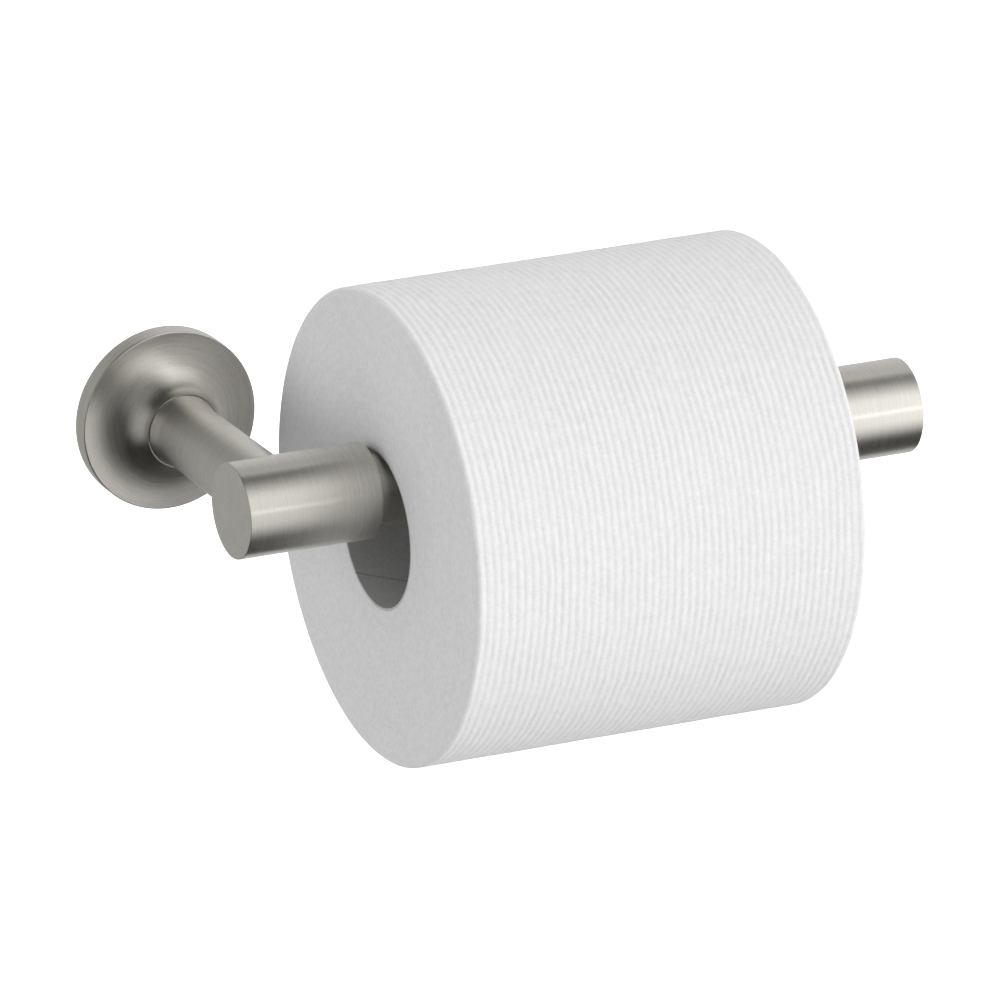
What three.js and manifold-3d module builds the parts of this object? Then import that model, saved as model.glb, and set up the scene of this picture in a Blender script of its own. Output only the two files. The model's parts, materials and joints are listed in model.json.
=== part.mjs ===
// A wall-mounted toilet paper holder: one post, one bar and a full roll, in millimetres.
// The wall is the plane y = 0 and +Y goes into it. The bar runs along +X to its free end. +Z is up.
// Depths are distances from the wall into the room, so a depth d lies at y = -d.

import * as THREE from 'three';
import { mergeVertices } from 'three/addons/utils/BufferGeometryUtils.js';
import Module from 'manifold-3d';

const wasm = await Module();
wasm.setup();

// ---- driving dimensions ----

const gap = 0.3; // running or assembly clearance between two pieces that touch
const edge = 0.3; // chamfer on turned metal edges
const overcut = 1; // how far a cutting tool runs past the face it opens

// bar
const barDepth = 76.2; // wall to bar axis
const barrelRadius = 12.7;
const barrelLength = 37.3;
const barrelOverhang = 13.35; // closed end of the left barrel, beyond the post axis
const spindleRadius = 9.3;
const spindleWall = 1.5;
const spindleSpan = 118.6; // bare spindle between the two barrels
const seatDepth = 10; // spindle's engagement in each barrel
const tieRodRadius = 2.9;
const tieRodGrip = 7; // thread in each barrel

// base
const flangeRadius = 24.5;
const flangeWall = 1.8;
const flangeSkirt = 2.4; // wall of the cylindrical rim
const rimDepth = 5.8; // wall to the front edge of the rim
const rimRound = 0.6;
const neckRadius = 10.1;
const neckDepth = 14.9; // wall to the lip where the post comes out
const lipDepth = 2.3; // counterbore behind the lip
const neckWeb = 3; // floor that carries the bushing
const bracketPlate = 2.2;
const bracketDepth = 3.8;
const bracketSkirt = 2.8;
const grooveDepth = 0.8; // set screw's groove round the bracket
const screwSpacing = 20; // between the two wall screws
const setScrewRadius = 1.4;

// post and pivot
const postRootRadius = 9.4; // where it meets the flange
const postWaistRadius = 8.85;
const postTipRadius = 9.4;
const postFlare = 6.5; // from the flange's lip to the waist
const postEntry = 0.7; // how far the post sits inside the flange's lip
const journalRadius = 5;
const bushingWall = 1;
const bushingFlange = 1;
const tenonRadius = 3.6;
const tenonFlat = 2.9; // tenon axis to its flat
const tenonLength = 1.3;
const washerWall = 2.4; // journal washers, from bore to rim
const frictionThickness = 0.8;
const springThickness = 0.8;
const stopThickness = 1.2;
const stopReach = 1.3; // stop washer's rim beyond the stop pin's axis
const stopPinRadius = 0.9;
const stopPinGrip = 2; // pressed into the flange
const pivotTravel = 90; // degrees that the arm lifts
const retainingRadius = 1.9;
const retainingLength = 14;
const retainingHead = 3.9;
const retainingHeadHeight = 2.1;
const socketRadius = 1.3;
const socketDepth = 1.2;
const studRadius = 4;
const studInPost = 20;
const studInBarrel = 8;

// wall fixings
const wallScrewRadius = 1.9;
const wallScrewLength = 24;
const wallScrewHead = 3.8;
const wallScrewHeadHeight = 1.9;
const wallScrewTip = 5; // tapered point
const squareDrive = 2;
const anchorRadius = 3.4; // over the barbs
const anchorBarb = 0.5; // height of each barb
const anchorCollar = 4.3;
const anchorCollarDepth = 1;
const anchorLength = 20;
const anchorBarbs = 4;
const anchorNose = 4; // plain stretch beyond the barbs

// roll
const paperRadius = 63.1;
const paperWidth = 110.2;
const paperRound = 1.1;
const coreRadius = 20.6; // inside of the tube
const coreWall = 1;
const rollInset = 3.55; // left barrel to the roll's near face

// facets round a turn
const coarse = 18;
const fine = 40;
const finest = 56;

// ---- dimensions that follow ----

const bushingRadius = journalRadius + gap + bushingWall;
const neckFloor = neckDepth - lipDepth;
const lipRadius = postRootRadius + gap;
const postShoulder = neckDepth - postEntry;
const bushingFront = neckFloor + gap + bushingFlange;
const washerRadius = journalRadius + gap + washerWall;
const stopPinOrbit = washerRadius + gap + stopPinRadius;
const stopWasherRadius = stopPinOrbit + stopReach;
const leftShoulder = barrelLength - barrelOverhang;
const rightShoulder = leftShoulder + spindleSpan;
const rollCentre = leftShoulder + rollInset + paperWidth / 2;
const rollDrop = coreRadius - spindleRadius - gap; // the core hangs on the top of the spindle

// The pivot stack, from the post's shoulder back towards the wall.
const neckBack = neckFloor - neckWeb;
const frictionBack = neckBack - gap - frictionThickness;
const springBack = frictionBack - gap - springThickness;
const journalEnd = springBack;
const stopWasherFront = journalEnd - gap;
const stopWasherBack = stopWasherFront - stopThickness;
const tenonEnd = journalEnd - tenonLength;

// ---- materials ----

function metal(color, roughness) {
  return new THREE.MeshStandardMaterial({ color, roughness, metalness: 1 });
}

function dull(color, roughness) {
  return new THREE.MeshStandardMaterial({ color, roughness, metalness: 0 });
}

const nickel = metal(0xb9b5ab, 0.32);
const zincPlate = metal(0xa9abad, 0.42);
const darkSteel = metal(0x4b4c4e, 0.5);
const springSteel = metal(0x7d7f82, 0.38);
const acetal = dull(0xe6e2d8, 0.5);
const nylon = dull(0xb9babb, 0.6);
const cardboard = dull(0x8d8378, 0.95);
const tissue = dull(0xf2f2f1, 0.97);

// ---- solids ----

// Turns a closed outline of [radius, along] points about Y, whichever way round it is listed.
function turned(outline, facets = fine) {
  const points = outline.map(([radius, along]) => new THREE.Vector2(radius, along));
  if (THREE.ShapeUtils.area(points) < 0) {
    points.reverse();
  }
  return new THREE.LatheGeometry(points, facets);
}

// A ring of square section, or a plain rod where inner is 0, between two stations on Y.
function ring(inner, outer, from, to, facets = fine) {
  if (inner === 0) {
    return turned([[0, from], [outer, from], [outer, to], [0, to]], facets);
  }
  return turned([[inner, from], [outer, from], [outer, to], [inner, to], [inner, from]], facets);
}

function toSolid(geometry) {
  const bare = geometry.index ? geometry.toNonIndexed() : geometry.clone();
  bare.deleteAttribute('normal');
  bare.deleteAttribute('uv');
  const merged = mergeVertices(bare, 1e-4);
  const mesh = new wasm.Mesh({
    numProp: 3,
    vertProperties: new Float32Array(merged.attributes.position.array),
    triVerts: new Uint32Array(merged.index.array),
  });
  mesh.merge();
  return new wasm.Manifold(mesh);
}

function toGeometry(solid) {
  const mesh = solid.getMesh();
  const geometry = new THREE.BufferGeometry();
  geometry.setAttribute('position', new THREE.BufferAttribute(mesh.vertProperties, 3));
  geometry.setIndex(new THREE.BufferAttribute(mesh.triVerts, 1));
  const flat = geometry.toNonIndexed();
  flat.computeVertexNormals();
  return flat;
}

function cut(blank, ...tools) {
  let solid = toSolid(blank);
  for (const tool of tools) {
    solid = solid.subtract(toSolid(tool));
  }
  return toGeometry(solid);
}

function piece(name, geometry, material) {
  const mesh = new THREE.Mesh(geometry, material);
  mesh.name = name;
  return mesh;
}

// Points on a quarter of an ellipse, from the side at `start` degrees to `end` degrees.
function arc(centreX, centreY, radiusX, radiusY, start, end, steps) {
  const points = [];
  for (let i = 0; i <= steps; i += 1) {
    const angle = THREE.MathUtils.degToRad(start + ((end - start) * i) / steps);
    points.push([centreX + radiusX * Math.cos(angle), centreY + radiusY * Math.sin(angle)]);
  }
  return points;
}

// ---- wall fixings ----

function wallBracket() {
  const radius = flangeRadius - flangeSkirt - gap;
  const inside = radius - bracketSkirt;
  const middle = -bracketDepth / 2;
  const blank = turned([
    [0, 0],
    [radius, 0],
    [radius, middle + grooveDepth],
    [radius - grooveDepth, middle],
    [radius, middle - grooveDepth],
    [radius, -bracketDepth],
    [inside, -bracketDepth],
    [inside, -bracketPlate],
    [0, -bracketPlate],
  ]);
  const holes = [-1, 1].map((side) => {
    const hole = ring(0, wallScrewRadius + gap, -bracketPlate - overcut, overcut, coarse);
    return hole.translate(0, 0, (side * screwSpacing) / 2);
  });
  return piece('wall_bracket', cut(blank, ...holes), zincPlate);
}

// A pan-head screw with a square-drive recess, its head on the bracket's plate.
function wallScrew(name, height) {
  const headBack = -bracketPlate - gap;
  const headFront = headBack - wallScrewHeadHeight;
  const tip = headBack + wallScrewLength;
  const blank = turned([
    [0, tip],
    [wallScrewRadius * 0.4, tip - wallScrewTip / 5],
    [wallScrewRadius, tip - wallScrewTip],
    [wallScrewRadius, headBack],
    [wallScrewHead, headBack],
    [wallScrewHead, headBack - wallScrewHeadHeight / 2],
    [wallScrewHead * 0.7, headFront],
    [0, headFront],
  ], coarse);
  const recess = new THREE.BoxGeometry(squareDrive, squareDrive, squareDrive).translate(0, headFront, 0);
  const screw = piece(name, cut(blank, recess), zincPlate);
  screw.position.z = height;
  return screw;
}

// A plastic plug with barbs along it, in the hole in the wall.
function wallAnchor(name, height) {
  const bore = wallScrewRadius + gap;
  const root = anchorRadius - anchorBarb;
  const outline = [[bore, gap], [anchorCollar, gap], [anchorCollar, gap + anchorCollarDepth]];
  const pitch = (anchorLength - anchorCollarDepth - anchorNose) / anchorBarbs;
  for (let i = 0; i < anchorBarbs; i += 1) {
    const start = gap + anchorCollarDepth + i * pitch;
    outline.push([root, start], [anchorRadius, start + pitch * 0.35], [root, start + pitch * 0.9]);
  }
  outline.push([root - 0.3, gap + anchorLength], [bore, gap + anchorLength], [bore, gap]);
  const anchor = piece(name, turned(outline, coarse), nylon);
  anchor.position.z = height;
  return anchor;
}

// ---- base ----

function baseFlange() {
  const inside = flangeRadius - flangeSkirt;
  const trumpetWidth = flangeRadius - neckRadius;
  const trumpetDepth = neckDepth - rimDepth;
  const hollowWidth = trumpetWidth + flangeWall;
  const hollowDepth = trumpetDepth + flangeWall;
  const hollowStart = THREE.MathUtils.radToDeg(Math.asin((neckDepth - neckBack) / hollowDepth));
  const hollowEnd = 180 - THREE.MathUtils.radToDeg(Math.acos((flangeRadius - inside) / hollowWidth));
  const trumpetEnd = THREE.MathUtils.radToDeg(Math.acos(rimRound / trumpetWidth));
  const blank = turned([
    [inside, 0],
    [flangeRadius - edge, 0],
    [flangeRadius, -edge],
    ...arc(flangeRadius - rimRound, -rimDepth + rimRound, rimRound, rimRound, 0, -90, 3),
    ...arc(flangeRadius, -neckDepth, trumpetWidth, trumpetDepth, 180 - trumpetEnd, 180, 8).slice(1),
    [lipRadius, -neckDepth],
    [lipRadius, -neckFloor],
    [bushingRadius + gap, -neckFloor],
    [bushingRadius + gap, -neckBack],
    ...arc(flangeRadius, -neckDepth, hollowWidth, hollowDepth, 180 - hollowStart, hollowEnd, 4),
    [inside, 0],
  ]);
  const screwHole = ring(0, setScrewRadius + gap, inside - overcut, flangeRadius + overcut, coarse)
    .rotateX(-Math.PI / 2)
    .translate(0, -bracketDepth / 2, 0);
  const pinHole = ring(0, stopPinRadius + gap, -neckBack - stopPinGrip - gap, -neckBack + overcut, coarse)
    .translate(0, 0, -stopPinOrbit);
  return piece('base_flange', cut(blank, screwHole, pinHole), nickel);
}

// A grub screw up through the underside of the rim, its point in the bracket's groove.
function setScrew() {
  const grooveRadius = flangeRadius - flangeSkirt - gap - grooveDepth;
  const tip = grooveRadius + gap;
  const head = flangeRadius - edge;
  const blank = turned([
    [0, tip],
    [setScrewRadius, tip + setScrewRadius * 0.8],
    [setScrewRadius, head],
    [0, head],
  ], coarse);
  const socket = ring(0, setScrewRadius * 0.55, head - socketDepth, head + overcut, 6);
  const screw = piece('set_screw', cut(blank, socket), darkSteel);
  screw.position.y = -bracketDepth / 2;
  screw.rotation.x = -Math.PI / 2;
  return screw;
}

function pivotBushing() {
  const bore = journalRadius + gap;
  const flange = lipRadius - gap;
  const outline = [
    [bore, -bushingFront],
    [flange, -bushingFront],
    [flange, -neckFloor - gap],
    [bushingRadius, -neckFloor - gap],
    [bushingRadius, -neckBack - gap],
    [bore, -neckBack - gap],
    [bore, -bushingFront],
  ];
  return piece('pivot_bushing', turned(outline, coarse), acetal);
}

function stopPin() {
  const geometry = ring(0, stopPinRadius, -neckBack - stopPinGrip, -stopWasherBack, coarse);
  const pin = piece('stop_pin', geometry, darkSteel);
  pin.position.z = -stopPinOrbit;
  return pin;
}

// ---- post and pivot ----

function post() {
  const tip = barDepth; // run on to the bar axis, then coped to the barrel
  const threadBore = retainingRadius + gap;
  const threadEnd = tenonEnd + retainingLength + gap;
  const studBore = studRadius + gap;
  const studEnd = barDepth - barrelRadius - gap - studInPost - gap;
  const flare = [0, 1, 2, 3, 4].map((step) => {
    const left = 1 - step / 4; // of the flare still to come
    return [postWaistRadius + (postRootRadius - postWaistRadius) * left * left, -neckDepth - postFlare * (1 - left)];
  });
  const blank = turned([
    [threadBore, -tenonEnd],
    [tenonRadius, -tenonEnd],
    [tenonRadius, -journalEnd],
    [journalRadius, -journalEnd],
    [journalRadius, -postShoulder],
    [postRootRadius, -postShoulder],
    ...flare,
    [postTipRadius, -tip],
    [studBore, -tip],
    [studBore, -studEnd],
    [0, -studEnd],
    [0, -threadEnd],
    [threadBore, -threadEnd],
    [threadBore, -tenonEnd],
  ]);
  const cope = ring(0, barrelRadius + gap, -flangeRadius, flangeRadius)
    .rotateZ(Math.PI / 2)
    .translate(0, -barDepth, 0);
  const flat = new THREE.BoxGeometry(2 * tenonRadius, tenonLength + overcut, tenonRadius)
    .translate(0, -tenonEnd - (tenonLength - overcut) / 2, tenonFlat + tenonRadius / 2);
  return piece('post', cut(blank, cope, flat), nickel);
}

function frictionWasher() {
  const geometry = ring(journalRadius + gap, washerRadius, -frictionBack - frictionThickness, -frictionBack, coarse);
  return piece('friction_washer', geometry, acetal);
}

// A disc spring, dished towards the post.
function springWasher() {
  const bore = journalRadius + gap;
  const back = -springBack;
  const sheet = springThickness / 2;
  const outline = [
    [bore, back - springThickness],
    [washerRadius, back - sheet],
    [washerRadius, back],
    [bore, back - sheet],
    [bore, back - springThickness],
  ];
  return piece('spring_washer', turned(outline, coarse), springSteel);
}

// The stop pin runs in this washer's notch and meets its two ends as the arm lifts and drops.
function stopWasher() {
  const blank = ring(0, stopWasherRadius, -stopWasherFront, -stopWasherBack);
  const hole = toSolid(ring(0, tenonRadius + gap, -stopWasherFront - overcut, -stopWasherBack + overcut, coarse));
  const flatSide = new THREE.BoxGeometry(4 * tenonRadius, 4 * tenonRadius, tenonRadius)
    .translate(0, -stopWasherFront, tenonFlat + gap + tenonRadius / 2);
  const keyhole = toGeometry(hole.subtract(toSolid(flatSide)));
  const halfPin = THREE.MathUtils.radToDeg(Math.asin((stopPinRadius + gap) / stopPinOrbit));
  const inner = stopPinOrbit - stopPinRadius - gap;
  const outer = stopWasherRadius + overcut;
  const end = -90 + halfPin;
  const start = end - pivotTravel - 2 * halfPin;
  const notchOutline = [
    ...arc(0, 0, inner, inner, start, end, 12),
    ...arc(0, 0, outer, outer, end, start, 12),
  ];
  const notchShape = new THREE.Shape(notchOutline.map(([x, z]) => new THREE.Vector2(x, z)));
  const notch = new THREE.ExtrudeGeometry(notchShape, { depth: stopThickness + 2 * overcut, bevelEnabled: false })
    .rotateX(Math.PI / 2)
    .translate(0, -stopWasherBack + overcut, 0);
  return piece('stop_washer', cut(blank, keyhole, notch), zincPlate);
}

function retainingScrew() {
  const headFront = stopWasherBack - gap;
  const headBack = headFront - retainingHeadHeight;
  const blank = turned([
    [0, -headFront - retainingLength],
    [retainingRadius, -headFront - retainingLength],
    [retainingRadius, -headFront],
    [retainingHead, -headFront],
    [retainingHead, -headBack - retainingHeadHeight / 2],
    [retainingHead * 0.6, -headBack],
    [0, -headBack],
  ], coarse);
  const socket = ring(0, socketRadius, -headBack - socketDepth, -headBack + overcut, 6);
  return piece('retaining_screw', cut(blank, socket), darkSteel);
}

function postStud() {
  const face = barDepth - barrelRadius;
  return piece('post_stud', ring(0, studRadius, -face - studInBarrel, -face + gap + studInPost, coarse), zincPlate);
}

// ---- bar, turned about its own axis with +Y of each outline along the bar ----

// One barrel with its closed end at `closed` and its shoulder at `shoulder`.
function barrelBlank(closed, shoulder) {
  const inward = Math.sign(closed - shoulder);
  const seat = shoulder + inward * seatDepth;
  const bore = tieRodRadius + gap;
  const boreEnd = seat + inward * (tieRodGrip + gap);
  const outline = [
    [0, closed],
    [barrelRadius - edge, closed],
    [barrelRadius, closed - inward * edge],
    [barrelRadius, shoulder + inward * edge],
    [barrelRadius - edge, shoulder],
    [spindleRadius + gap, shoulder],
    [spindleRadius + gap, seat],
    [bore, seat],
    [bore, boreEnd],
    [0, boreEnd],
  ];
  return turned(outline);
}

function leftBarrel() {
  const blank = barrelBlank(-barrelOverhang, leftShoulder);
  const studHole = ring(0, studRadius + gap, -overcut, studInBarrel + gap + overcut, coarse)
    .rotateZ(Math.PI / 2)
    .translate(-barrelRadius + studInBarrel + gap, 0, 0);
  return piece('left_barrel', cut(blank, studHole), nickel);
}

function rightBarrel() {
  return piece('right_barrel', barrelBlank(rightShoulder + barrelLength, rightShoulder), nickel);
}

function spindleTube() {
  const from = leftShoulder - seatDepth + gap;
  const to = rightShoulder + seatDepth - gap;
  return piece('spindle_tube', ring(spindleRadius - spindleWall, spindleRadius, from, to), nickel);
}

function tieRod() {
  const reach = seatDepth + tieRodGrip;
  return piece('tie_rod', ring(0, tieRodRadius, leftShoulder - reach, rightShoulder + reach, coarse), zincPlate);
}

// ---- roll, turned about its own axis and centred on its width ----

function cardboardCore() {
  const half = paperWidth / 2;
  return piece('cardboard_core', ring(coreRadius, coreRadius + coreWall, -half, half), cardboard);
}

function paperWind() {
  const half = paperWidth / 2;
  const inner = coreRadius + coreWall + gap;
  const shoulder = paperRadius - paperRound;
  const outline = [
    [inner, -half],
    ...arc(shoulder, -half + paperRound, paperRound, paperRound, -90, 0, 3),
    ...arc(shoulder, half - paperRound, paperRound, paperRound, 0, 90, 3),
    [inner, half],
    [inner, -half],
  ];
  return piece('paper_wind', turned(outline, finest), tissue);
}

// ---- assembly ----

const holder = new THREE.Group();

const base = new THREE.Group();
base.add(wallBracket(), baseFlange(), setScrew(), pivotBushing(), stopPin());
for (const [place, side] of [['upper', 1], ['lower', -1]]) {
  const height = (side * screwSpacing) / 2;
  base.add(wallScrew(`bracket_screw_${place}`, height), wallAnchor(`wall_anchor_${place}`, height));
}

const arm = new THREE.Group();
arm.add(post(), frictionWasher(), springWasher(), stopWasher(), retainingScrew(), postStud());

const bar = new THREE.Group();
bar.position.y = -barDepth;
bar.rotation.z = -Math.PI / 2;
bar.add(leftBarrel(), spindleTube(), tieRod(), rightBarrel());
arm.add(bar);

const roll = new THREE.Group();
roll.position.set(rollCentre, -barDepth, -rollDrop);
roll.rotation.z = -Math.PI / 2;
roll.add(cardboardCore(), paperWind());
arm.add(roll);

holder.add(base, arm);

export default holder;
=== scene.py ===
"""Looks of a wall-mounted toilet paper holder with a full roll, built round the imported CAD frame.

The wall is the plane y = 0. The post runs along -Y, the bar along +X, and +Z is up. Sizes are in metres.
"""

import json
import math

import bmesh
import bpy
import numpy as np
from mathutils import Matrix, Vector, noise


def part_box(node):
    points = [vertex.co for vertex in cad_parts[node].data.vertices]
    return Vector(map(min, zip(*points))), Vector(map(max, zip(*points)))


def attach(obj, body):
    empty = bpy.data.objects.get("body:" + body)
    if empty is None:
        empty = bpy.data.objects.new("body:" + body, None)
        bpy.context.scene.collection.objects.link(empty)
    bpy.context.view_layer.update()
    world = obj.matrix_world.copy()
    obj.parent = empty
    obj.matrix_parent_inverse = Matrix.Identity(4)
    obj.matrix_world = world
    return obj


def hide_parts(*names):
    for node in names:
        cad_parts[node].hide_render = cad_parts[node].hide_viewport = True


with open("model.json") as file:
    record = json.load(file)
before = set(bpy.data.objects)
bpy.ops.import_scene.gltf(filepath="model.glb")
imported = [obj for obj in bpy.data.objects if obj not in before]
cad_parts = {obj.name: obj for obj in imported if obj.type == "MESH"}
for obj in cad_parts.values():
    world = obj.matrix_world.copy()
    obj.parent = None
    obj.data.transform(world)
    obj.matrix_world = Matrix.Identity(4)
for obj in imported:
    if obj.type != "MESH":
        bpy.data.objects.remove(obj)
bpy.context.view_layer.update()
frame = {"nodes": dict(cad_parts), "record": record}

MM = 0.001
TAU = 2 * math.pi


# ---- sizes, from the frame where it states them ----

def radius_of(node):
    low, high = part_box(node)
    return (high.z - low.z) / 2


FLANGE_RADIUS = radius_of("base_flange")
NECK_DEPTH = -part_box("base_flange")[0].y
RIM_DEPTH = 5.8 * MM
RIM_ROUND = 0.35 * MM
RIM_WALL = 2.4 * MM
FLANGE_WALL = 1.8 * MM
NECK_RADIUS = 10.1 * MM
LIP_RADIUS = 9.8 * MM
LIP_DEPTH = 2.3 * MM
NECK_WEB = 3 * MM
NECK_BORE = 6.6 * MM
SET_SCREW_HOLE = 1.7 * MM

POST_ROOT = 9.76 * MM
POST_WAIST = 8.85 * MM
POST_FLARE = 6.5 * MM
POST_TIP = 9.4 * MM
POST_SHOULDER = 14.2 * MM

BARREL_RADIUS = radius_of("left_barrel")
BAR_DEPTH = -(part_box("left_barrel")[0].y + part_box("left_barrel")[1].y) / 2
BARREL_SEAT = 10 * MM
SPINDLE_RADIUS = radius_of("spindle_tube")
SPINDLE_WALL = 1.5 * MM

ROLL_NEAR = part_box("paper_wind")[0].x
ROLL_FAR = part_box("paper_wind")[1].x
ROLL_RADIUS = radius_of("paper_wind")
ROLL_HEIGHT = (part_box("paper_wind")[0].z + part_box("paper_wind")[1].z) / 2
CORE_OUTER = radius_of("cardboard_core")
CORE_WALL = 0.6 * MM
SEAM_LEAD = 300 * MM  # how far the board's seam runs along the core in one turn
SEAM_TURN = 52 / 360  # where it starts at the near end, as a part of a turn below the wall side
RIBS = 52
RIB_HEIGHT = 0.29 * MM
PAPER_ROUND = 1.1 * MM
TAIL_STEP = 0.12 * MM
TAIL_ANGLE = math.radians(205)  # the loose end lies low at the back, where the front view never sees it


# ---- camera ----

CAMERA_AIM = Vector((61.2, -79.7, -7.3)) * MM
CAMERA_AZIMUTH = math.radians(-25.07)
CAMERA_ELEVATION = math.radians(19.97)
CAMERA_DISTANCE = 2.81
CAMERA_LENS = 390


def make_camera():
    data = bpy.data.cameras.new("camera")
    data.sensor_width = 36
    data.lens = CAMERA_LENS
    data.clip_end = 50
    camera = bpy.data.objects.new("camera", data)
    back = Vector((
        math.sin(CAMERA_AZIMUTH) * math.cos(CAMERA_ELEVATION),
        -math.cos(CAMERA_AZIMUTH) * math.cos(CAMERA_ELEVATION),
        math.sin(CAMERA_ELEVATION),
    ))
    camera.location = CAMERA_AIM + back * CAMERA_DISTANCE
    camera.rotation_euler = (-back).to_track_quat("-Z", "Y").to_euler()
    bpy.context.scene.collection.objects.link(camera)
    bpy.context.scene.camera = camera


make_camera()


# ---- node helpers ----

class Nodes:
    """A material's node tree, built by short calls that return sockets."""

    def __init__(self, name):
        self.material = bpy.data.materials.new(name)
        self.material.use_nodes = True
        self.tree = self.material.node_tree
        self.shader = self.tree.nodes["Principled BSDF"]

    def add(self, kind, **settings):
        node = self.tree.nodes.new(kind)
        for key, value in settings.items():
            setattr(node, key, value)
        return node

    def link(self, source, target):
        if isinstance(source, (int, float)):
            target.default_value = source
        elif isinstance(source, (tuple, list)):
            target.default_value = source
        else:
            self.tree.links.new(source, target)

    def math(self, operation, *values):
        node = self.add("ShaderNodeMath", operation=operation)
        for socket, value in zip(node.inputs, values):
            self.link(value, socket)
        return node.outputs[0]

    def combine(self, x, y, z):
        node = self.add("ShaderNodeCombineXYZ")
        for socket, value in zip(node.inputs, (x, y, z)):
            self.link(value, socket)
        return node.outputs[0]

    def position(self, centre=(0, 0, 0)):
        """The three coordinates of the surface point, from a centre, in metres."""
        source = self.add("ShaderNodeTexCoord").outputs["Object"]
        shifted = self.add("ShaderNodeVectorMath", operation="SUBTRACT")
        self.link(source, shifted.inputs[0])
        shifted.inputs[1].default_value = centre
        split = self.add("ShaderNodeSeparateXYZ")
        self.link(shifted.outputs[0], split.inputs[0])
        return split.outputs

    def noise(self, vector, scale=1.0, detail=3.0, roughness=0.5):
        node = self.add("ShaderNodeTexNoise")
        self.link(vector, node.inputs["Vector"])
        node.inputs["Scale"].default_value = scale
        node.inputs["Detail"].default_value = detail
        node.inputs["Roughness"].default_value = roughness
        return node.outputs["Fac"]

    def between(self, value, low, high, start=0.0, end=1.0):
        node = self.add("ShaderNodeMapRange")
        for socket, setting in zip(node.inputs, (value, start, end, low, high)):
            self.link(setting, socket)
        return node.outputs[0]

    def smooth(self, value, low, high, start, end):
        node = self.add("ShaderNodeMapRange", interpolation_type="SMOOTHSTEP")
        for socket, setting in zip(node.inputs, (value, start, end, low, high)):
            self.link(setting, socket)
        return node.outputs[0]

    def blend(self, factor, first, second):
        node = self.add("ShaderNodeMix", data_type="RGBA")
        self.link(factor, node.inputs["Factor"])
        self.link(first, node.inputs[6])
        self.link(second, node.inputs[7])
        return node.outputs[2]

    def bump(self, height, distance, strength=1.0, below=None):
        node = self.add("ShaderNodeBump")
        node.inputs["Strength"].default_value = strength
        node.inputs["Distance"].default_value = distance
        self.link(height, node.inputs["Height"])
        if below is not None:
            self.link(below, node.inputs["Normal"])
        return node.outputs[0]

    def set(self, **inputs):
        for key, value in inputs.items():
            self.link(value, self.shader.inputs[key.replace("_", " ")])


def around(nodes, axis, centre):
    """Distance from a lathe's axis, and that plus the place along it, which grows along a turned outline."""
    x, y, z = nodes.position(centre)
    along, across = (x, y) if axis == "X" else (y, x)
    square = nodes.math("ADD", nodes.math("MULTIPLY", across, across), nodes.math("MULTIPLY", z, z))
    radius = nodes.math("SQRT", square)
    travel = nodes.math("SUBTRACT", radius, along) if axis == "Y" else nodes.math("ADD", radius, along)
    return radius, travel, (x, y, z)


# ---- materials ----

NICKEL_LIGHT = (0.695, 0.672, 0.62, 1)
NICKEL_DARK = (0.545, 0.526, 0.482, 1)


def brushed_nickel(name, axis, centre, roughness, anisotropy, tone=1.0):
    """Nickel plate with short, dense brush lines round the turned axis, over a fine satin grain."""
    # tone scales the whole plate's colour; a tone below 1 is painted shade, not a different plate
    light = tuple(channel * tone for channel in NICKEL_LIGHT)
    dark = tuple(channel * tone for channel in NICKEL_DARK)
    nodes = Nodes(name)
    _, travel, (x, y, z) = around(nodes, axis, centre)
    across = y if axis == "X" else x
    slow = 150
    lines = nodes.combine(
        nodes.math("MULTIPLY", travel, 5600),
        nodes.math("MULTIPLY", across, slow),
        nodes.math("MULTIPLY", z, slow),
    )
    fine = nodes.noise(lines, 1.0, 4.0, 0.65)
    broad = nodes.noise(lines, 0.35, 2.0, 0.5)
    satin = nodes.noise(nodes.combine(x, y, z), 2400, 3.0, 0.7)
    streaks = nodes.math("ADD", nodes.math("MULTIPLY", fine, 0.4), nodes.math("MULTIPLY", broad, 0.25))
    grain = nodes.math("ADD", streaks, nodes.math("MULTIPLY", satin, 0.35))
    tangent = nodes.add("ShaderNodeTangent", direction_type="RADIAL", axis=axis)
    nodes.set(
        Base_Color=nodes.blend(nodes.between(grain, 0, 1, 0.4, 0.6), dark, light),
        Metallic=1.0,
        Roughness=nodes.between(grain, roughness - 0.05, roughness + 0.05, 0.36, 0.64),
        Anisotropic=anisotropy,
        Anisotropic_Rotation=0.25,
        Tangent=tangent.outputs[0],
        Normal=nodes.bump(grain, 0.01 * MM, 0.2),
    )
    return nodes.material


def satin_nickel(name):
    """Nickel plate on a flat end: an even, fine grain with no direction."""
    nodes = Nodes(name)
    x, y, z = nodes.position()
    place = nodes.combine(x, y, z)
    grain = nodes.noise(place, 2400, 3.0, 0.7)
    cloud = nodes.noise(place, 230, 3.0, 0.5)
    tone = nodes.math("ADD", nodes.math("MULTIPLY", grain, 0.8), nodes.math("MULTIPLY", cloud, 0.2))
    nodes.set(
        Base_Color=nodes.blend(nodes.between(tone, 0, 1, 0.4, 0.6), NICKEL_DARK, NICKEL_LIGHT),
        Metallic=1.0,
        Roughness=nodes.between(tone, 0.38, 0.48, 0.35, 0.65),
        Normal=nodes.bump(grain, 0.012 * MM, 0.3),
    )
    return nodes.material


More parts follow.
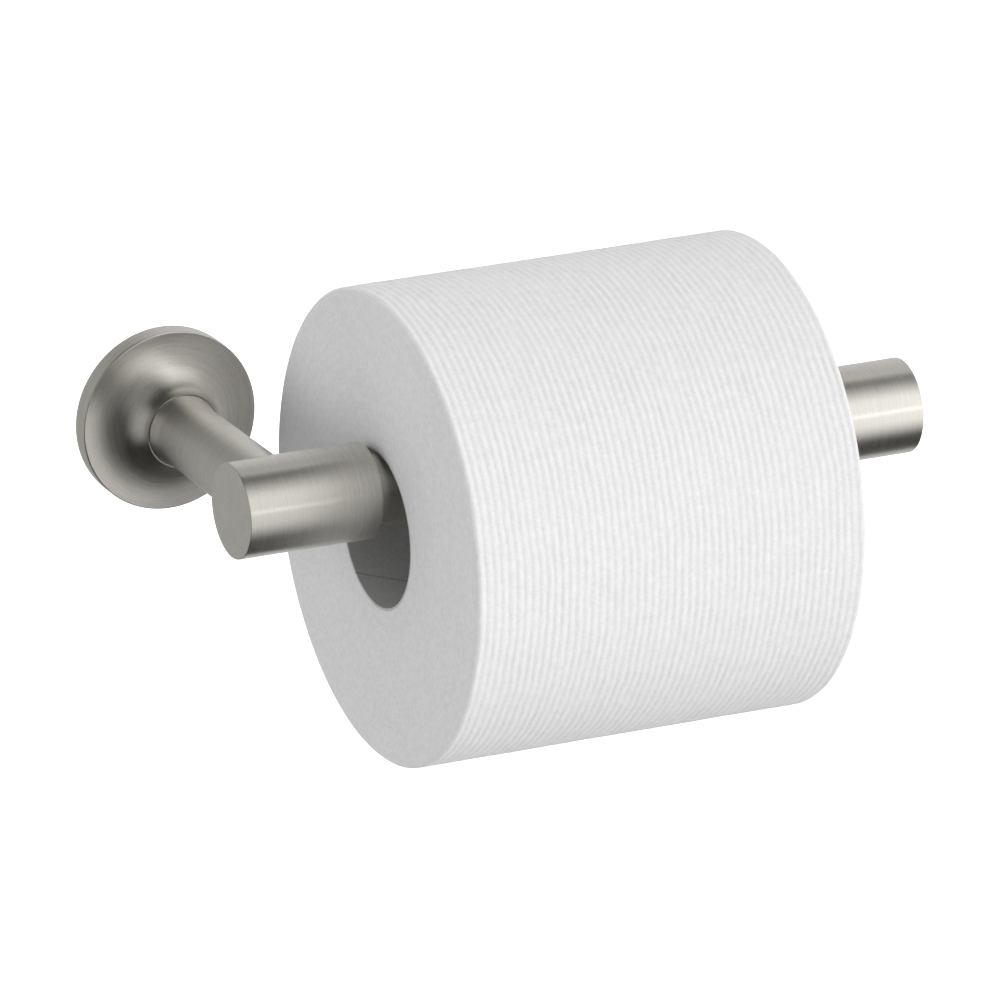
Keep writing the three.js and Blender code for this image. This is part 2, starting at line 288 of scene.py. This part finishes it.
def machined_metal(name, colour, roughness, axis="Y", centre=(0, 0, 0)):
    """Plated or oxidised hardware, with faint turning marks and mottled plating."""
    nodes = Nodes(name)
    _, travel, (x, y, z) = around(nodes, axis, centre)
    marks = nodes.noise(nodes.combine(nodes.math("MULTIPLY", travel, 4000), x, z), 1.0, 2.0)
    mottle = nodes.noise(nodes.combine(x, y, z), 420, 4.0, 0.6)
    dark = tuple(channel * 0.8 for channel in colour) + (1,)
    nodes.set(
        Base_Color=nodes.blend(nodes.between(mottle, 0, 1, 0.3, 0.7), dark, tuple(colour) + (1,)),
        Metallic=1.0,
        Roughness=nodes.between(mottle, roughness - 0.06, roughness + 0.1, 0.3, 0.7),
        Normal=nodes.bump(marks, 0.02 * MM, 0.4),
    )
    return nodes.material


def moulded_plastic(name, colour, roughness):
    """Moulded plastic with a fine even grain and slight clouding."""
    nodes = Nodes(name)
    x, y, z = nodes.position()
    place = nodes.combine(x, y, z)
    grain = nodes.noise(place, 2600, 3.0, 0.6)
    cloud = nodes.noise(place, 160, 2.0)
    dark = tuple(channel * 0.9 for channel in colour) + (1,)
    nodes.set(
        Base_Color=nodes.blend(cloud, dark, tuple(colour) + (1,)),
        Roughness=nodes.between(grain, roughness - 0.05, roughness + 0.08),
        Normal=nodes.bump(grain, 0.03 * MM, 0.4),
    )
    return nodes.material


def tissue_side(name):
    """The roll's outer sheet: soft white, with fibres and small pits over the embossed rings."""
    nodes = Nodes(name)
    x, y, z = nodes.position()
    place = nodes.combine(x, y, z)
    fibres = nodes.noise(place, 1300, 5.0, 0.75)
    pulp = nodes.noise(place, 420, 3.0, 0.6)
    height = nodes.math("ADD", nodes.math("MULTIPLY", fibres, 0.65), nodes.math("MULTIPLY", pulp, 0.35))
    nodes.set(
        Base_Color=nodes.blend(
            nodes.between(height, 0, 1, 0.38, 0.62), (0.84, 0.84, 0.84, 1), (0.93, 0.93, 0.93, 1)
        ),
        Roughness=0.95,
        Normal=nodes.bump(height, 0.35 * MM, 0.75),
    )
    nodes.shader.inputs["Specular IOR Level"].default_value = 0.15
    nodes.shader.inputs["Sheen Weight"].default_value = 0.12
    nodes.shader.inputs["Sheen Roughness"].default_value = 0.6
    return nodes.material


def tissue_end(name, centre):
    """The roll's cut end: the edges of the wound sheets, with faint rings under specks of lint."""
    nodes = Nodes(name)
    radius, _, (x, y, z) = around(nodes, "X", centre)
    rings = nodes.combine(
        nodes.math("MULTIPLY", radius, 2600),
        nodes.math("MULTIPLY", y, 60),
        nodes.math("MULTIPLY", z, 60),
    )
    rings = nodes.noise(rings, 1.0, 3.0, 0.6)
    lint = nodes.noise(nodes.combine(x, y, z), 700, 5.0, 0.72)
    height = nodes.math("ADD", nodes.math("MULTIPLY", rings, 0.3), nodes.math("MULTIPLY", lint, 0.7))
    nodes.set(
        Base_Color=nodes.blend(
            nodes.between(height, 0, 1, 0.4, 0.6), (0.82, 0.82, 0.83, 1), (0.91, 0.91, 0.92, 1)
        ),
        Roughness=0.97,
        Normal=nodes.bump(height, 0.2 * MM, 0.35),
    )
    nodes.shader.inputs["Specular IOR Level"].default_value = 0.1
    return nodes.material


def core_board(name, centre):
    """Spiral-wound board: grey fibre, with the ply's butt seam running down it as a steep helix."""
    nodes = Nodes(name)
    _, _, (x, y, z) = around(nodes, "X", centre)
    turn = nodes.math("DIVIDE", nodes.math("ARCTAN2", z, y), TAU)
    along = nodes.math("DIVIDE", nodes.math("SUBTRACT", x, ROLL_NEAR), SEAM_LEAD)
    helix = nodes.math("FRACT", nodes.math("ADD", nodes.math("ADD", turn, along), 0.5 + SEAM_TURN))
    from_seam = nodes.math("ABSOLUTE", nodes.math("SUBTRACT", helix, 0.5))
    groove = nodes.between(from_seam, 1, 0, 0.0005, 0.0025)
    below = nodes.between(helix, 1, 0, 0.46, 0.5)
    fibres = nodes.noise(nodes.combine(x, y, z), 1100, 5.0, 0.7)
    tone = nodes.math("ADD", nodes.between(fibres, 0, 0.8, 0.3, 0.7), nodes.math("MULTIPLY", below, 0.2))
    colour = nodes.blend(tone, (0.52, 0.518, 0.52, 1), (0.66, 0.66, 0.662, 1))
    nodes.set(
        Base_Color=nodes.blend(nodes.math("MULTIPLY", groove, 0.5), colour, (0.22, 0.22, 0.22, 1)),
        Roughness=0.9,
        Normal=nodes.bump(nodes.math("ADD", nodes.math("MULTIPLY", below, 0.4), fibres), 0.12 * MM, 0.4),
    )
    nodes.shader.inputs["Specular IOR Level"].default_value = 0.2
    return nodes.material


# ---- mesh helpers ----

def arc(centre, radii, start, end, steps):
    """Points on a stretch of an ellipse, angles in degrees."""
    angles = [math.radians(start + (end - start) * i / steps) for i in range(steps + 1)]
    return [(centre[0] + radii[0] * math.cos(a), centre[1] + radii[1] * math.sin(a)) for a in angles]


def softened(outline, size, steps=4):
    """The outline with each sharp corner off the axis turned into a small round."""
    points = [Vector(p) for p in outline]
    closed = (points[0] - points[-1]).length < 1e-9
    if closed:
        points.pop()
    made = []
    count = len(points)
    for i, here in enumerate(points):
        if not closed and i in (0, count - 1):
            made.append(here)
            continue
        before, after = points[i - 1] - here, points[(i + 1) % count] - here
        turn = math.pi - before.angle(after)
        if turn < math.radians(25) or here.x < 1e-9:
            made.append(here)
            continue
        reach = min(size * math.tan(turn / 2), before.length * 0.45, after.length * 0.45)
        first, last = here + before.normalized() * reach, here + after.normalized() * reach
        for k in range(steps + 1):
            t = k / steps
            made.append(first * (1 - t) ** 2 + here * 2 * t * (1 - t) + last * t * t)
    if closed:
        made.append(made[0])
    return [tuple(p) for p in made]


def finish_mesh(name, vertices, faces, materials, sharp=35):
    mesh = bpy.data.meshes.new(name)
    mesh.from_pydata([tuple(v) for v in vertices], [], faces)
    made = bmesh.new()
    made.from_mesh(mesh)
    bmesh.ops.recalc_face_normals(made, faces=made.faces)
    made.to_mesh(mesh)
    made.free()
    mesh.shade_smooth()
    mesh.set_sharp_from_angle(angle=math.radians(sharp))
    for material in materials:
        mesh.materials.append(material)
    obj = bpy.data.objects.new(name, mesh)
    bpy.context.scene.collection.objects.link(obj)
    return obj


def turned(name, outline, axis, centre, materials, turns=256):
    """Turns an outline of (radius, along) points about the axis line that passes through centre."""
    closed = math.dist(outline[0], outline[-1]) < 1e-9
    points = outline[:-1] if closed else outline
    vertices, rings = [], []
    for radius, along in points:
        around_axis = 1 if radius < 1e-9 else turns
        rings.append([len(vertices) + k for k in range(around_axis)])
        for k in range(around_axis):
            angle = TAU * k / turns
            across, up = radius * math.cos(angle), radius * math.sin(angle)
            place = (along, across, up) if axis == "X" else (across, along, up)
            vertices.append(Vector(centre) + Vector(place))
    faces = []
    pairs = list(zip(rings, rings[1:]))
    if closed:
        pairs.append((rings[-1], rings[0]))
    for one, two in pairs:
        for k in range(turns):
            corners = [one[k % len(one)], one[(k + 1) % len(one)], two[(k + 1) % len(two)], two[k % len(two)]]
            corners = list(dict.fromkeys(corners))
            if len(corners) > 2:
                faces.append(corners)
    return finish_mesh(name, vertices, faces, materials)


def place(obj, body, slot, *nodes):
    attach(obj, body)
    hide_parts(*nodes)
    return obj


# ---- base ----

def flange_outline():
    inside = FLANGE_RADIUS - RIM_WALL
    width, depth = FLANGE_RADIUS - NECK_RADIUS, NECK_DEPTH - RIM_DEPTH
    hollow = (width + FLANGE_WALL, depth + FLANGE_WALL)
    neck_floor = NECK_DEPTH - LIP_DEPTH
    neck_back = neck_floor - NECK_WEB
    hollow_start = 180 - math.degrees(math.asin((NECK_DEPTH - neck_back) / hollow[1]))
    hollow_end = 180 - math.degrees(math.acos((FLANGE_RADIUS - inside) / hollow[0]))
    trumpet_start = 180 - math.degrees(math.acos(RIM_ROUND / width))
    outer = [
        (inside, 0),
        (FLANGE_RADIUS - 0.3 * MM, 0),
        (FLANGE_RADIUS, -0.3 * MM),
        *arc((FLANGE_RADIUS - RIM_ROUND, RIM_ROUND - RIM_DEPTH), (RIM_ROUND, RIM_ROUND), 0, -90, 8),
        *arc((FLANGE_RADIUS, -NECK_DEPTH), (width, depth), trumpet_start, 180, 48)[1:],
    ]
    inner = [
        (NECK_RADIUS - 0.02 * MM, -NECK_DEPTH),
        (LIP_RADIUS, -NECK_DEPTH),
        (LIP_RADIUS, -neck_floor),
        (NECK_BORE, -neck_floor),
        (NECK_BORE, -neck_back),
        *arc((FLANGE_RADIUS, -NECK_DEPTH), hollow, hollow_start, hollow_end, 20),
        (inside, 0),
    ]
    return softened(outer, 0.18 * MM) + softened(inner, 0.04 * MM)


def cut_screw_hole(flange):
    """Opens the underside of the rim for the set screw."""
    low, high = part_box("set_screw")
    depth, sides = (low.y + high.y) / 2, 48
    vertices = []
    for height in (-FLANGE_RADIUS - MM, MM - FLANGE_RADIUS + RIM_WALL):
        for k in range(sides):
            angle = TAU * k / sides
            across, along = SET_SCREW_HOLE * math.cos(angle), SET_SCREW_HOLE * math.sin(angle)
            vertices.append((across, depth + along, height))
    faces = [[k, (k + 1) % sides, sides + (k + 1) % sides, sides + k] for k in range(sides)]
    faces += [list(range(sides)), list(range(sides, 2 * sides))]
    cutter = finish_mesh("screw_hole_cutter", vertices, faces, [])
    cut = flange.modifiers.new("screw hole", "BOOLEAN")
    cut.object = cutter
    cut.operation = "DIFFERENCE"
    cut.solver = "EXACT"
    graph = bpy.context.evaluated_depsgraph_get()
    flange.data = bpy.data.meshes.new_from_object(flange.evaluated_get(graph))
    flange.modifiers.clear()
    bpy.data.objects.remove(cutter)


def make_flange():
    # The flange is the same plate as the post and bar, painted 10% darker (tone 0.9) as painted shade
    material = brushed_nickel("flange nickel", "Y", (0, 0, 0), 0.32, 0.6, 0.9)
    flange = turned("flange_cover", flange_outline(), "Y", (0, 0, 0), [material], 288)
    cut_screw_hole(flange)
    place(flange, "base", "brushed_nickel", "base_flange")


# ---- post ----

def cope(height, clearance):
    """Depth at which the post's end meets the barrel's side, at a height above the bar's axis."""
    reach = BARREL_RADIUS + clearance
    return BAR_DEPTH - math.sqrt(reach * reach - height * height)


def post_radius(depth, end):
    """The post flares where it meets the flange, narrows to its waist and thickens again to the bar."""
    flared = min(max((depth - NECK_DEPTH) / POST_FLARE, 0), 1)
    taper = (depth - POST_SHOULDER) / (end - POST_SHOULDER)
    return POST_WAIST + (POST_TIP - POST_WAIST) * taper + (POST_ROOT - POST_WAIST) * (1 - flared) ** 2


def make_post():
    turns, stations = 192, 40
    seat = 0.1 * MM
    rings = [(0.6, 0.0, 0), (0.98, 0.0, 0)]
    rings += [(1, (i / stations) ** 1.5, 0) for i in range(stations + 1)]
    rings += [(shrink, 1.0, seat) for shrink in (0.985, 0.8, 0.5, 0.25)]
    vertices = []
    for shrink, fraction, lift in rings:
        for k in range(turns):
            angle = TAU * k / turns
            height = POST_TIP * shrink * math.sin(angle)
            end = cope(height, seat + 0.12 * MM - lift)
            depth = POST_SHOULDER + (end - POST_SHOULDER) * fraction
            radius = shrink * post_radius(depth, end)
            vertices.append((radius * math.cos(angle), -depth, radius * math.sin(angle)))
    faces = []
    for ring in range(len(rings) - 1):
        for k in range(turns):
            one, two = ring * turns, (ring + 1) * turns
            faces.append([one + k, one + (k + 1) % turns, two + (k + 1) % turns, two + k])
    faces.append([k for k in range(turns)])
    last = (len(rings) - 1) * turns
    faces.append([last + k for k in range(turns)])
    material = brushed_nickel("post nickel", "Y", (0, 0, 0), 0.33, 0.8)
    place(finish_mesh("post_body", vertices, faces, [material]), "arm", "brushed_nickel", "post")


# ---- bar ----

def barrel_outline(closed, shoulder):
    """A barrel's outline from its closed end to its shoulder, with the spindle's seat bored in."""
    seat = shoulder + math.copysign(BARREL_SEAT, closed - shoulder)
    bore = SPINDLE_RADIUS + 0.05 * MM
    outline = [
        (0, closed),
        (BARREL_RADIUS, closed),
        (BARREL_RADIUS, shoulder),
        (bore, shoulder),
        (bore, seat),
        (0, seat),
    ]
    return softened(outline, 0.22 * MM)


def tube_outline(inner, outer, near, far, edge):
    return softened([(inner, near), (outer, near), (outer, far), (inner, far), (inner, near)], edge)


def make_bar():
    centre = (0, -BAR_DEPTH, 0)
    left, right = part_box("left_barrel"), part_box("right_barrel")
    ends = satin_nickel("barrel end nickel")
    for name, node, closed, shoulder in (
        ("bar_left_barrel", "left_barrel", left[0].x, left[1].x),
        ("bar_right_barrel", "right_barrel", right[1].x, right[0].x),
    ):
        side = brushed_nickel(name.replace("_", " "), "X", centre, 0.33, 0.9)
        barrel = turned(name, barrel_outline(closed, shoulder), "X", centre, [side, ends], 256)
        for face in barrel.data.polygons:
            face.material_index = 1 if abs(face.normal.x) > 0.9 else 0
        place(barrel, "arm", "brushed_nickel", node)
    low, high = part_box("spindle_tube")
    outline = tube_outline(SPINDLE_RADIUS - SPINDLE_WALL, SPINDLE_RADIUS, low.x, high.x, 0.15 * MM)
    material = brushed_nickel("spindle nickel", "X", centre, 0.33, 0.9)
    spindle = turned("bar_spindle", outline, "X", centre, [material], 192)
    place(spindle, "arm", "brushed_nickel", "spindle_tube")


# ---- roll ----

def rib_wave(x, angle):
    """Height of the embossed rings at a place on the roll, between 0 and 1: broad ridges, narrow valleys."""
    at = Vector((x * 90, math.cos(angle) * 6, math.sin(angle) * 6))
    drift = noise.noise(at * 0.8) * 0.2 + noise.noise(at * 2.3) * 0.12
    phase = (x - ROLL_NEAR) / (ROLL_FAR - ROLL_NEAR) * RIBS + drift
    turn = phase % 1.0
    lean = 0.42  # the crest comes a little before the middle of each ring
    turn = 0.5 * turn / lean if turn < lean else 0.5 + 0.5 * (turn - lean) / (1 - lean)
    ridge = math.sin(math.pi * turn) ** 0.8
    strength = 0.85 + 0.3 * noise.noise(at * 1.1 + Vector((7, 0, 0)))
    return min(max(ridge * strength + 0.1 * noise.noise(at * 5), 0.0), 1.0)


def make_wind():
    """The wound tissue: rings embossed round the outer sheet, rounded edges, cut ends and a loose tail."""
    turns = 284
    per_rib = 6
    end_rings = 12
    centre = Vector((0, -BAR_DEPTH, ROLL_HEIGHT))
    inner = CORE_OUTER + 0.04 * MM
    rows = []
    for radius in np.linspace(inner, ROLL_RADIUS - PAPER_ROUND, end_rings):
        rows.append((radius, ROLL_NEAR, 0))
    for a in np.linspace(0, 90, 7)[1:]:
        turn = math.radians(a)
        rows.append((
            ROLL_RADIUS - PAPER_ROUND + PAPER_ROUND * math.sin(turn),
            ROLL_NEAR + PAPER_ROUND * (1 - math.cos(turn)),
            math.sin(turn),
        ))
    stations = RIBS * per_rib
    start, end = ROLL_NEAR + PAPER_ROUND, ROLL_FAR - PAPER_ROUND
    for i in range(1, stations):
        rows.append((ROLL_RADIUS, start + (end - start) * i / stations, 1))
    near_side = [row for row in rows if row[1] <= start + 1e-9]
    rows += [(radius, ROLL_NEAR + ROLL_FAR - x, weight) for radius, x, weight in reversed(near_side)]
    vertices = []
    for radius, x, weight in rows:
        for k in range(turns):
            angle = TAU * k / turns
            drop = 0.0
            if weight > 0:
                drop = RIB_HEIGHT * (1 - rib_wave(x, angle)) * weight
                past_tail = ((angle - TAIL_ANGLE) % TAU) / TAU
                drop += TAIL_STEP * past_tail * weight
            reach = radius - drop
            vertices.append(centre + Vector((x, reach * math.cos(angle), reach * math.sin(angle))))
    faces, slots = [], []
    last = len(rows) - 1
    for row in range(len(rows)):
        following = (row + 1) % len(rows)
        for k in range(turns):
            one, two = row * turns, following * turns
            faces.append([one + k, one + (k + 1) % turns, two + (k + 1) % turns, two + k])
            slots.append(1 if row < end_rings - 1 or row > last - end_rings else 0)
    side = tissue_side("tissue side")
    cut_end = tissue_end("tissue end", tuple(centre))
    wind = finish_mesh("paper_roll", vertices, faces, [side, cut_end], 60)
    wind.data.polygons.foreach_set("material_index", slots)
    place(wind, "roll", "tissue", "paper_wind")


def make_core():
    low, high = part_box("cardboard_core")
    centre = (0, -BAR_DEPTH, ROLL_HEIGHT)
    outline = tube_outline(CORE_OUTER - CORE_WALL, CORE_OUTER, low.x, high.x, 0.12 * MM)
    core = turned("roll_core", outline, "X", centre, [core_board("core board", centre)], 192)
    place(core, "roll", "core_board", "cardboard_core")


# ---- hardware that keeps its CAD shape ----

def dress_hardware():
    zinc = machined_metal("zinc plate", (0.62, 0.63, 0.65), 0.36)
    black = machined_metal("black oxide", (0.12, 0.12, 0.13), 0.45)
    spring = machined_metal("spring steel", (0.4, 0.41, 0.43), 0.34)
    acetal = moulded_plastic("acetal", (0.82, 0.8, 0.74), 0.45)
    nylon = moulded_plastic("nylon", (0.52, 0.53, 0.54), 0.5)
    finishes = {
        "zinc_plate": zinc, "dark_steel": black, "spring_steel": spring, "acetal": acetal, "nylon": nylon,
    }
    for entry in frame["record"]["subparts"]:
        material = finishes.get(entry["material_slot"])
        if material is not None:
            mesh = frame["nodes"][entry["node"]].data
            mesh.materials.clear()
            mesh.materials.append(material)


# ---- studio ----

# The room that the metal mirrors, as a few soft strips that run along X. Each strip is (middle, half width,
# soft edge, brightness), in degrees about X: 0 faces the room, 90 is overhead, -90 is straight down and 180
# is behind the wall. The metal that faces right sees RIGHT_STRIPS and the metal that faces left LEFT_STRIPS.
RIGHT_STRIPS = [
    (12, 24, 54, 2.3),  # the large soft box in front
    (8, 1, 3, 1.5),  # its bright tube
    (88, 12, 20, 0.28),  # the ceiling
    (175, 66, 14, 0.95),  # the white wall
    (0, 180, 1, 0.1),
]
LEFT_STRIPS = [
    (38, 12, 40, 0.4),  # what the soft box throws on the left of the room
    (180, 38, 24, 0.62),  # the white wall
    (0, 180, 1, 0.05),
]
LEFT_WALL = 0.7
RIGHT_WALL = 0.8


class World:
    """Node calls for the world's tree."""

    def __init__(self):
        self.world = bpy.data.worlds.new("studio")
        self.world.use_nodes = True
        self.tree = self.world.node_tree

    add = Nodes.add
    link = Nodes.link
    math = Nodes.math
    between = Nodes.between
    smooth = Nodes.smooth


def strip_light(sky, angle, strips):
    """Brightness in a direction, the sum of the strips that cover it."""
    total = 0.0
    for middle, half_width, edge, brightness in strips:
        offset = sky.math("SUBTRACT", angle, math.radians(middle))
        away = sky.math("ABSOLUTE", sky.math("WRAP", offset, math.pi, -math.pi))
        inside, outside = math.radians(half_width), math.radians(half_width + edge)
        total = sky.math("ADD", total, sky.smooth(away, brightness, 0, inside, outside))
    return total


def make_room():
    sky = World()
    bpy.context.scene.world = sky.world
    split = sky.add("ShaderNodeSeparateXYZ")
    sky.link(sky.add("ShaderNodeTexCoord").outputs["Generated"], split.inputs[0])
    x, y, z = split.outputs
    angle = sky.math("ARCTAN2", z, sky.math("MULTIPLY", y, -1.0))

    def mix(factor, first, second):
        return sky.math("ADD", sky.math("MULTIPLY", first, sky.math("SUBTRACT", 1.0, factor)),
                        sky.math("MULTIPLY", second, factor))

    left, right = strip_light(sky, angle, LEFT_STRIPS), strip_light(sky, angle, RIGHT_STRIPS)
    level = mix(sky.between(x, 0, 1, -0.1, 0.35), left, right)
    walls = sky.between(x, LEFT_WALL, RIGHT_WALL, -0.5, 0.5)
    level = mix(sky.between(sky.math("ABSOLUTE", x), 0, 1, 0.7, 0.95), level, walls)
    room = sky.add("ShaderNodeBackground")
    sky.link(level, room.inputs["Strength"])
    backdrop = sky.tree.nodes["Background"]
    backdrop.inputs["Color"].default_value = (1, 1, 1, 1)
    backdrop.inputs["Strength"].default_value = 1.05
    choose = sky.add("ShaderNodeMixShader")
    sky.link(sky.add("ShaderNodeLightPath").outputs["Is Camera Ray"], choose.inputs[0])
    sky.link(room.outputs[0], choose.inputs[1])
    sky.link(backdrop.outputs[0], choose.inputs[2])
    sky.link(choose.outputs[0], sky.tree.nodes["World Output"].inputs["Surface"])


def soft_light(name, direction, strength, spread=75):
    """A broad, even light from one side that lights the matt surfaces and leaves no shape on the metal."""
    data = bpy.data.lights.new(name, "SUN")
    data.energy = strength
    data.angle = math.radians(spread)
    light = bpy.data.objects.new(name, data)
    light.rotation_euler = Vector(direction).to_track_quat("Z", "Y").to_euler()
    light.visible_glossy = False
    bpy.context.scene.collection.objects.link(light)


def make_floor():
    half, height = 20, -0.6
    corners = [(-half, -half, height), (half, -half, height), (half, half, height), (-half, half, height)]
    nodes = Nodes("pale floor")
    nodes.set(
        Base_Color=(0.9, 0.9, 0.9, 1),
        Roughness=0.8,
        Emission_Color=(1, 1, 1, 1),
        Emission_Strength=0.9,
    )
    floor = finish_mesh("floor", corners, [[0, 1, 2, 3]], [nodes.material])
    floor.visible_glossy = False
    floor.visible_diffuse = False
    floor.visible_shadow = False


make_room()
soft_light("soft_top", (0, 0.25, 1), 0.6)
soft_light("soft_low", (0, -0.5, -0.8), 0.85)
soft_light("soft_left", (-1, 0, 0.1), 0.8)
soft_light("soft_right", (0.7, -0.7, 0.3), 0.42)
make_floor()
make_flange()
make_post()
make_bar()
make_wind()
make_core()
dress_hardware()

bpy.context.scene.view_settings.view_transform = "Standard"
